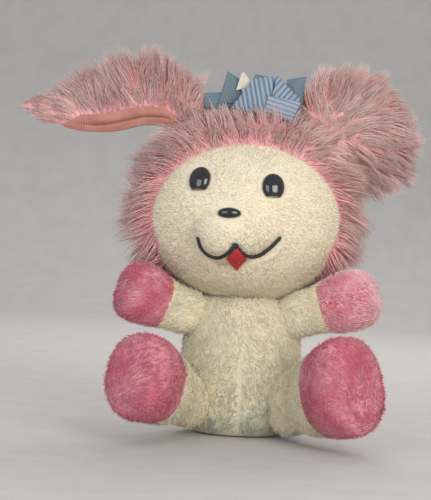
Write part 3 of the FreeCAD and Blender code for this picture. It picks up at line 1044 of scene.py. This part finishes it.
def leg(side: Side, hip: tuple[float, float, float], sole: tuple[float, float, float],
        half: tuple[float, float], patch_and_painted_light: float, seed: int) -> Limb:
    """A leg with its round, flat-soled foot.

    Args:
        side: Left or right.
        hip: Where it leaves the torso.
        sole: The middle of its sole.
        half: The foot's half width and half height.
        patch_and_painted_light: How much lighter pink is painted on the foot; this is painted light,
            highest on the lit right foot.
        seed: Picks its lumps and pile.

    Returns:
        The limb.
    """
    length = float(np.linalg.norm(np.array(sole) - np.array(hip)))
    outline = ((0.0, -32.0), (10.0, -29.0), (15.0, -20.0), (18.0, 4.0), (22.0, 18.0),
               (25.5, length * 0.50), (28.0, length * 0.74), (26.0, length * 0.92),
               (20.0, length * 0.99), (10.0, length + 1.5), (0.0, length + 2.0))
    name = f"leg_{side.value}"
    return Limb(name, name, hip, sole, outline, length * 0.46,
                (half[0] / 28.0, half[1] / 28.0), (f"{name}_thigh_cover", f"{name}_foot_cover"),
                ((f"{name}_thigh",), (f"{name}_foot", f"{name}_sole", f"{name}_stuffing")),
                patch_and_painted_light, seed, 0.1)


# ------------------------------------------------------------------ ears
@dataclass
class Ear:
    """A flat ear of shaggy pile, set along a line of stations: place, half height, half depth."""

    side: Side
    stations: tuple[tuple[float, float, float, float, float], ...]
    upright: bool
    seed: int

    def line(self, places: np.ndarray) -> tuple[np.ndarray, np.ndarray, np.ndarray]:
        """The ear's middle line.

        Args:
            places: From 0 at the root to 1 at the tip.

        Returns:
            The rows of stations there, the way the ear runs and its own way up.
        """
        rows = smooth_line(self.stations, 200)
        marks = np.linspace(0.0, 1.0, len(rows))
        found = np.stack([np.interp(places, marks, rows[:, k]) for k in range(5)], axis=1)
        slope = np.gradient(rows[:, :3], axis=0)
        ahead = unit(np.stack([np.interp(places, marks, slope[:, k]) for k in range(3)], axis=1))
        rise = np.tile(UP, (len(places), 1)) if self.upright else unit(np.cross(ahead, FRONT))
        return found, ahead, np.where(rise[:, 2:] < 0, -rise, rise)

    def shape(self, points: np.ndarray) -> np.ndarray:
        """Maps a unit sphere to the ear."""
        angle = np.arccos(np.clip(points[:, 2], -1.0, 1.0)) / math.pi
        rows, ahead, rise = self.line(angle)
        ring = unit(np.hstack([points[:, :2], np.zeros((len(points), 1))]))
        deep = unit(np.cross(rise, ahead))
        end = np.sqrt(np.clip(np.minimum(angle, 1 - angle) * 9.0, 0.0, 1.0))[:, None]
        out = rows[:, :3] + end * (rise * ring[:, 1:2] * rows[:, 3:4]
                                   + deep * ring[:, :1] * rows[:, 4:5])
        return out + deep * swirl(out, 28.0, self.seed)[:, :1] * 1.2

    def surface(self) -> Skin:
        """The ear's skin."""
        mesh = bmesh.new()
        bmesh.ops.create_uvsphere(mesh, u_segments=72, v_segments=90, radius=1.0)
        moved(mesh, self.shape)
        bmesh.ops.recalc_face_normals(mesh, faces=mesh.faces)
        return Skin(mesh)


@dataclass
class LeftEar(Ear):
    """The ear that lies straight out, its ribbed lining bare along the lower edge."""

    side: Side = Side.LEFT
    stations: tuple[tuple[float, float, float, float, float], ...] = (
        (-24.0, 6.0, 224.0, 6.0, 5.0), (-38.0, 5.0, 235.0, 12.0, 6.0),
        (-56.0, 3.0, 246.0, 18.0, 6.5),
        (-76.0, 1.0, 249.0, 20.5, 6.5), (-98.0, 0.0, 244.5, 21.5, 6.5),
        (-120.0, 0.0, 238.5, 17.0, 6.0), (-142.0, 0.0, 236.0, 11.0, 5.0),
        (-160.0, 0.0, 236.5, 6.5, 4.0), (-170.0, 0.0, 238.0, 2.0, 2.0))
    upright: bool = True
    seed: int = 61
    lining_ends: tuple[float, float] = (-50.0, -138.0)
    lining: LiningFinish = field(default_factory=LiningFinish)

    def lower(self, x: np.ndarray) -> np.ndarray:
        """The ear's lower edge at a place across."""
        rows = smooth_line(self.stations, 200)
        order = np.argsort(rows[:, 0])
        return np.interp(x, rows[order, 0], (rows[:, 2] - rows[:, 3])[order])

    def lining_top(self, x: np.ndarray) -> np.ndarray:
        """How high the bare lining reaches at a place across."""
        share = np.clip((self.lining_ends[0] - x) / (self.lining_ends[0] - self.lining_ends[1]), 0, 1)
        return self.lower(x) + np.interp(share, (0.0, 0.15, 0.5, 0.85, 1.0), (5.0, 12.0, 14.5, 11.0, 1.5))

    def comb(self, points: np.ndarray) -> np.ndarray:
        """Up at the root, turning towards the tip."""
        share = np.clip((-45.0 - points[:, 0]) / 125.0, 0.0, 1.0)
        angle = np.radians(84.0 + 84.0 * share)
        way = np.stack([np.cos(angle), np.zeros(len(points)), np.sin(angle)], axis=1)
        return way + 0.28 * swirl(points, 18.0, self.seed + 1)

    def build(self) -> None:
        """Makes the ear, its pile and its lining."""
        skin = self.surface()
        follow = riding(f"ear_{self.side.value}")
        made = skin.piece("ear_left_skin", SHAGGY.cloth(), SHAGGY.slot, follow, 1.0)
        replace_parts(padded(made), "ear_left_pile")

        def share(points: np.ndarray) -> np.ndarray:
            """No pile over the lining."""
            ahead = points[:, 1] < 2.0
            within = (points[:, 0] > self.lining_ends[1]) & (points[:, 0] < self.lining_ends[0])
            low = points[:, 2] < self.lining_top(points[:, 0]) - 1.0
            under = points[:, 2] < self.lower(points[:, 0]) + 2.5
            return 1.0 - ((ahead & within & low) | (within & under))

        def reach(points: np.ndarray) -> np.ndarray:
            """Longest along the upper edge near the root, short at the tip."""
            rows = self.lower(points[:, 0])
            high = ramp(points[:, 2] - rows, 6.0, 30.0)
            tip = 1.0 - 0.45 * ramp(-points[:, 0], 110.0, 165.0)
            return (0.62 + 0.38 * high) * tip

        pile = Pile(length=21.0, width=0.6, density=0.62, lift=20.0, rings=3, jitter=0.12,
                    droop=0.10, lock_hold=0.62, lock_size=26, curl=1.3, ragged=0.25)
        pile.grow("ear_left_pile_tufts", skin, self.comb, SHAGGY.tufts(), follow,
                  self.seed + 2, share=share, reach=reach,
                  patch=lambda p: np.clip(0.25 + 0.5 * swirl(p, 18.0, 66)[:, 0], 0.0, 1.0))
        self.build_lining(follow)

    def build_lining(self, follow: Follow) -> None:
        """Makes the ribbed lining, creased along its length and rolled at the lower edge."""
        mesh = bmesh.new()
        bmesh.ops.create_grid(mesh, x_segments=110, y_segments=28, size=0.5)
        first, last = self.lining_ends

        def change(points: np.ndarray) -> np.ndarray:
            """Lays the square on the ear's front."""
            share, height = points[:, 0] + 0.5, points[:, 1] + 0.5
            x = first + (last - first) * share
            low, top = self.lower(x) - 0.6, self.lining_top(x)
            z = low + (top - low) * height
            rows = smooth_line(self.stations, 200)
            order = np.argsort(rows[:, 0])
            half = np.interp(x, rows[order, 0], rows[order, 3])
            deep = np.interp(x, rows[order, 0], rows[order, 4])
            middle = np.interp(x, rows[order, 0], rows[order, 2])
            y0 = np.interp(x, rows[order, 0], rows[order, 1])
            lean = np.clip(1 - ((z - middle) / (half + 1.5)) ** 2, 0.0, 1.0)
            crease = np.exp(-((height - 0.42 + 0.12 * (share - 0.5)) / 0.07) ** 2)
            fade = ramp(share, 0.04, 0.2) * (1 - ramp(share, 0.72, 0.92))
            y = y0 - deep * np.sqrt(lean) - 1.3 + 1.9 * crease * fade
            y -= 1.4 * np.exp(-((height - 0.68) / 0.2) ** 2) * fade
            return np.stack([x, y, z], axis=1)

        moved(mesh, change)
        bmesh.ops.recalc_face_normals(mesh, faces=mesh.faces)
        made = finished(mesh, "ear_left_lining_cloth", self.lining.material())
        solid = made.modifiers.new("Cloth", "SOLIDIFY")
        solid.thickness = 1.0 * MM
        solid.offset = 0.0
        follow(made)
        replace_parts(made, "ear_left_lining")
        area = sum(face.calc_area() for face in mesh.faces) * MM * MM


@dataclass
class RightEar(Ear):
    """The ear that flops to the side, its pile fanning out from the crease at its root."""

    side: Side = Side.RIGHT
    stations: tuple[tuple[float, float, float, float, float], ...] = (
        (42.0, 6.0, 208.0, 8.0, 6.0), (51.0, 4.0, 224.0, 15.0, 7.5),
        (60.0, 2.0, 236.0, 24.0, 8.5), (71.0, 2.0, 240.0, 29.0, 9.0),
        (82.0, 5.0, 233.0, 30.0, 9.0), (91.0, 10.0, 220.0, 28.0, 8.5),
        (98.0, 16.0, 204.0, 21.0, 7.0), (103.0, 20.0, 190.0, 6.0, 3.0))
    upright: bool = False
    seed: int = 71
    crease: tuple[float, float, float] = (56.0, -6.0, 226.0)

    def comb(self, points: np.ndarray) -> np.ndarray:
        """Away from the crease, hanging more towards the tip."""
        away = unit((points - np.array(self.crease)) * np.array([1.0, 0.4, 1.0]))
        return away + 0.30 * swirl(points, 20.0, self.seed + 1)

    def build(self) -> None:
        """Makes the ear with its pile, and the lining on its back."""
        skin = self.surface()
        follow = riding(f"ear_{self.side.value}")
        made = skin.piece("ear_right_skin", SHAGGY.cloth(), SHAGGY.slot, follow, 1.0)
        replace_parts(padded(made), "ear_right_pile", "ear_right_lining")

        def reach(points: np.ndarray) -> np.ndarray:
            """Short at the crease, long at the rim."""
            away = np.linalg.norm(points - np.array(self.crease), axis=1)
            return 0.35 + 0.65 * ramp(away, 5.0, 32.0)

        pile = Pile(length=19.5, width=0.66, density=0.60, lift=24.0, rings=3, jitter=0.12,
                    droop=0.20, lock_hold=0.64, lock_size=30, curl=1.6, ragged=0.22)
        pile.grow("ear_right_pile_tufts", skin, self.comb, SHAGGY.tufts(), follow,
                  self.seed + 2, reach=reach,
                  patch=lambda p: np.clip(0.2 + 0.5 * swirl(p, 18.0, 76)[:, 0], 0.0, 1.0))


# ------------------------------------------------------------------ bow
@dataclass(frozen=True)
class Facet:
    """One pressed fold of the bow: a sheet between four corners, bulging to the front."""

    name: str
    corners: tuple[tuple[float, float, float], ...]
    bulge: float
    finish: StripeFinish
    turn: float = 0.0
    nodes: tuple[str, ...] = ()

    def build(self) -> None:
        """Makes the fold, with a UV map in centimetres so that stripes keep their width."""
        mesh = bmesh.new()
        bmesh.ops.create_grid(mesh, x_segments=30, y_segments=30, size=0.5)
        a, b, c, d = (np.array(corner) for corner in self.corners)

        def change(points: np.ndarray) -> np.ndarray:
            """Stretches the square between the corners."""
            u, v = points[:, :1] + 0.5, points[:, 1:2] + 0.5
            out = (1 - v) * ((1 - u) * a + u * b) + v * ((1 - u) * d + u * c)
            fold = np.sin(math.pi * u) * np.sin(math.pi * v)
            pleat = 0.35 * np.sin(9.0 * u + 3.0 * v)
            return out + FRONT * (self.bulge * fold + pleat)

        moved(mesh, change)
        layer = mesh.loops.layers.uv.new("weave")
        cos, sin = math.cos(math.radians(self.turn)), math.sin(math.radians(self.turn))
        for face in mesh.faces:
            for loop in face.loops:
                x, z = loop.vert.co.x / 10, loop.vert.co.z / 10
                loop[layer].uv = (x * cos + z * sin, z * cos - x * sin)
        made = finished(mesh, self.name, self.finish.material())
        solid = made.modifiers.new("Cotton", "SOLIDIFY")
        solid.thickness = 0.5 * MM
        solid.offset = 0.0
        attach(made, "head")
        if self.nodes:
            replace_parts(made, *self.nodes)
        area = sum(face.calc_area() for face in mesh.faces)


def bow() -> list[Facet]:
    """The folds of the bow, from front to back; the back folds wear a darker copy of the striped cotton as
    painted shade.
    """
    cotton = StripeFinish("striped_cotton", (0.29, 0.34, 0.375), (0.09, 0.155, 0.24), 2.9)
    fold = StripeFinish("striped_cotton", (0.32, 0.355, 0.40), (0.17, 0.21, 0.30), 3.2)
    # Painted shade: the back folds are the same striped cotton, painted darker for the shade behind the
    # front folds.
    shade = StripeFinish("striped_cotton", (0.13, 0.18, 0.21), (0.11, 0.155, 0.19), 4.6)
    cream = StripeFinish("cream_cotton", (0.66, 0.60, 0.50), (0.60, 0.54, 0.44), 0.6)
    return [
        Facet("bow_front_left", ((-14, -16, 243), (14, -17, 238), (17, -12, 268.5), (1, -12, 266)),
              3.5, cotton, 12.0, ("bow_left_loop",)),
        Facet("bow_front_right", ((14, -15, 246), (38, -9, 240), (37, -8, 253), (19, -12, 269)),
              2.5, cotton, -38.0, ("bow_right_loop",)),
        Facet("bow_front_fold", ((10, -19, 241), (32, -17, 235), (37, -13, 250), (13, -17, 254)),
              2.5, fold, 75.0, ("bow_knot",)),
        Facet("bow_back_left", ((-24, -4, 246), (-4, -6, 248), (-9, -2, 266), (-18, -2, 271)),
              1.5, shade, 20.0),
        Facet("bow_wing_left", ((-34, -3, 244), (-12, -5, 240), (-12, -2, 256), (-34, -1, 254)),
              1.0, shade, 90.0),
        Facet("bow_middle_back", ((-4, -4, 248), (24, -4, 246), (24, -2, 266), (3, -2, 270)),
              1.5, shade, 10.0),
        Facet("bow_back_right", ((20, -4, 242), (38, -4, 238), (41, -4, 270), (27, -4, 267)),
              3.0, shade, 60.0),
        Facet("bow_cream_end", ((-11, -8, 257), (2, -8, 260), (-5, -6, 270), (-7, -6, 271)),
              0.8, cream, 0.0, ("bow_end",)),
    ]


# ------------------------------------------------------------------ studio
@dataclass
class Studio:
    """A pale floor that curves up behind the toy, soft lamps and the camera."""

    aim: tuple[float, float, float] = (-20.0, 0.0, 137.0)
    camera: tuple[float, float, float] = (-20.0, -1500.0, 189.0)
    roll: float = 3.0
    lens: float = 96.0
    sensor: float = 24.0

    def sweep(self) -> None:
        """Makes the floor and backdrop in one curved sheet."""
        mesh = bmesh.new()
        bend = [(1.2 + 0.5 * math.sin(a), 0.5 - 0.5 * math.cos(a))
                for a in np.linspace(0.0, math.pi / 2, 24)]
        line = [(-4.0, 0.0), *bend, (1.7, 4.0)]
        rows = [[mesh.verts.new((x, y, z)) for y, z in line] for x in (-4.0, 4.0)]
        for index in range(len(line) - 1):
            mesh.faces.new((rows[0][index], rows[1][index], rows[1][index + 1], rows[0][index + 1]))
        data = bpy.data.meshes.new("floor")
        mesh.to_mesh(data)
        data.polygons.foreach_set("use_smooth", np.ones(len(data.polygons), dtype=bool))
        data.materials.append(plain_finish("studio_paper", (0.50, 0.48, 0.455), (0.54, 0.52, 0.49),
                                           0.9, 40.0, 0.02))
        floor = bpy.data.objects.new("floor", data)
        bpy.context.scene.collection.objects.link(floor)

    def lamp(self, name: str, place: tuple[float, float, float], size: float, power: float,
             colour: Colour) -> None:
        """Hangs one square soft lamp that points at the toy.

        Args:
            name: The lamp's name.
            place: Where it hangs, in metres.
            size: Its side in metres.
            power: In watts.
            colour: The light's colour.
        """
        light = bpy.data.lights.new(name, "AREA")
        light.size = size
        light.energy = power
        light.color = colour
        holder = bpy.data.objects.new(name, light)
        holder.location = place
        way = at(*self.aim) - Vector(place)
        holder.rotation_euler = way.to_track_quat("-Z", "Y").to_euler()
        bpy.context.scene.collection.objects.link(holder)

    def build(self) -> None:
        """Sets the stage."""
        self.sweep()
        self.lamp("key", (0.70, -1.35, 0.60), 0.9, 16.0, (1.0, 0.95, 0.88))
        self.lamp("fill", (-0.9, -1.40, 0.55), 1.0, 9.0, (0.92, 0.96, 1.0))
        self.lamp("rim", (0.2, 0.9, 1.0), 0.9, 9.0, (1.0, 0.97, 0.94))
        world = bpy.data.worlds.new("studio")
        world.use_nodes = True
        sky = world.node_tree.nodes["Background"]
        sky.inputs["Color"].default_value = (0.86, 0.90, 1.0, 1.0)
        sky.inputs["Strength"].default_value = 0.60
        bpy.context.scene.world = world
        data = bpy.data.cameras.new("camera")
        data.sensor_width = self.sensor
        data.lens = self.lens
        data.clip_end = 20.0
        camera = bpy.data.objects.new("camera", data)
        camera.location = at(*self.camera)
        way = (at(*self.aim) - camera.location).to_track_quat("-Z", "Y")
        camera.rotation_euler = (way.to_matrix() @ Matrix.Rotation(math.radians(self.roll), 3, "Z")
                                 ).to_euler()
        bpy.context.scene.collection.objects.link(camera)
        bpy.context.scene.camera = camera
        bpy.context.scene.view_settings.view_transform = "Standard"


def main() -> None:
    """Builds the toy and its stage."""
    logging.basicConfig(level=logging.INFO, format="%(message)s")
    head = Head()
    Torso().build()
    head.build()
    Features(head).build()
    # The fifth value of each arm and leg is painted light: the lit right paw and foot are painted a lighter
    # pink.
    for limb in (
            arm(Side.LEFT, (-43.5, -11.0, 92.0), (-83.0, -26.0, 105.5), 51.0, 0.05, 81),
            arm(Side.RIGHT, (49.0, -11.0, 93.5), (90.0, -26.0, 108.5), 57.5, 0.85, 91),
            leg(Side.LEFT, (-40.0, -38.3, 29.5), (-75.0, -95.0, 51.5), (25.0, 30.5), 0.0, 101),
            leg(Side.RIGHT, (46.4, -38.3, 29.5), (87.0, -96.0, 52.5), (26.5, 35.0), 0.08, 111)):
        limb.build()
    LeftEar().build()
    RightEar().build()
    for facet in bow():
        facet.build()
    Studio().build()


if __name__ == "__main__":
    main()
